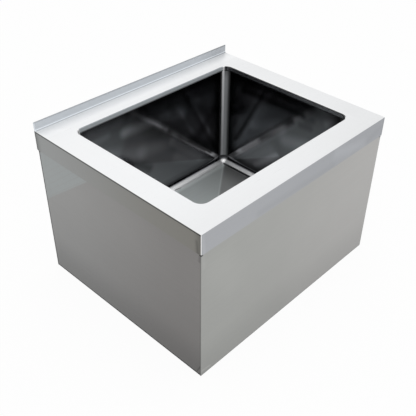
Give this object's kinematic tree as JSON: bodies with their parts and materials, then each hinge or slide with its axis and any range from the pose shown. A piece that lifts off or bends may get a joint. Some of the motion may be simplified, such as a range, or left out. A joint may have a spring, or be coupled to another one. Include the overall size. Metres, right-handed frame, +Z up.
{
  "type": "mop service sink",
  "caption": "Floor-standing stainless mop sink: rectangular rim with a low rear upturn, deep coved bowl, skirted sides down to the floor and a lift-out basket drain.",
  "frame": {"origin": "centre of the footprint, on the floor", "axes": "+X to the right along the long side, -Y to the front, +Y to the wall behind the upturn, +Z up"},
  "size_m": [0.635, 0.5334, 0.4284],
  "materials": {
    "deck_steel": "fine brushed sheet, ground at the welded corners",
    "skirt_steel": "satin rolled sheet with a faint grain",
    "bowl_steel": "bright polished walls, brushed coves and floor",
    "drain_steel": "polished, turned and pressed",
    "zinc_plate": "dull zinc plate on steel",
    "brass": "plain machined brass",
    "rubber": "matt moulded rubber",
    "fibre": "pressed vulcanised fibre",
    "nylon": "plain moulded nylon"
  },
  "bodies": {
    "sink": {"rim_top": "deck_steel", "rear_apron": "deck_steel", "bowl": "bowl_steel", "front_skirt": "skirt_steel", "rear_skirt": "skirt_steel", "left_skirt": "skirt_steel", "right_skirt": "skirt_steel", "strainer_body": "drain_steel", "outlet_tube": "drain_steel", "spider": "drain_steel", "flange_seal": "nylon", "under_gasket": "rubber", "friction_washer": "fibre", "locknut": "zinc_plate", "coupling_nut": "brass", "coupling_washer": "nylon"},
    "basket": {"basket_cup": "drain_steel", "basket_post": "drain_steel", "lift_knob": "drain_steel", "stopper_seal": "rubber", "stopper_washer": "drain_steel", "retaining_nut": "brass"}
  },
  "joints": [
    {"name": "basket_lift", "type": "slide", "parent": "sink", "child": "basket", "axis": [0, 0, 1], "range_m": [0, 0.4]}
  ]
}
